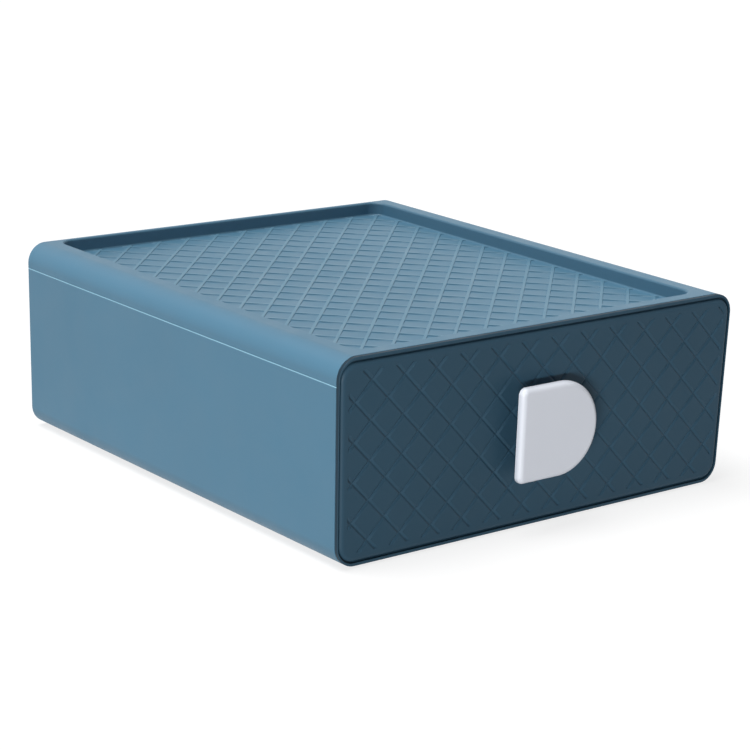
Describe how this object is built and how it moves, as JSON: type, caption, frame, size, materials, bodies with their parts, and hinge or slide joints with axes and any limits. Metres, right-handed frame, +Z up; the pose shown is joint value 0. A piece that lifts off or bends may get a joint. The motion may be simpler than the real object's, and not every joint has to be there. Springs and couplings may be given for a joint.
{
  "type": "drawer organizer",
  "caption": "Low desktop box with a sliding drawer, a sunken tray with crossed ribs in its top, and a D-shaped pull on the patterned drawer front.",
  "frame": {"origin": "on the surface that the feet stand on, under the middle of the part's bounding box", "axes": "+X to the right as seen from the front, +Y to the back (the drawer opens to -Y), +Z up"},
  "size_m": [0.2502, 0.2804, 0.1],
  "materials": {
    "casing_plastic": "satin",
    "tray_plastic": "satin",
    "front_plastic": "satin",
    "handle_plastic": "satin",
    "foot_rubber": "matte",
    "screw_steel": "brushed"
  },
  "bodies": {
    "casing": {"casing_body": "casing_plastic", "top_cover": "casing_plastic", "foot_front_left": "foot_rubber", "foot_front_right": "foot_rubber", "foot_back_left": "foot_rubber", "foot_back_right": "foot_rubber"},
    "drawer": {"drawer_tray": "tray_plastic", "drawer_front": "front_plastic", "front_panel": "front_plastic", "handle": "handle_plastic", "handle_screw_lower": "screw_steel", "handle_screw_upper": "screw_steel"}
  },
  "joints": [
    {"name": "drawer_slide", "type": "slide", "parent": "casing", "child": "drawer", "axis": [0, -1, 0], "range_m": [0, 0.208]}
  ]
}
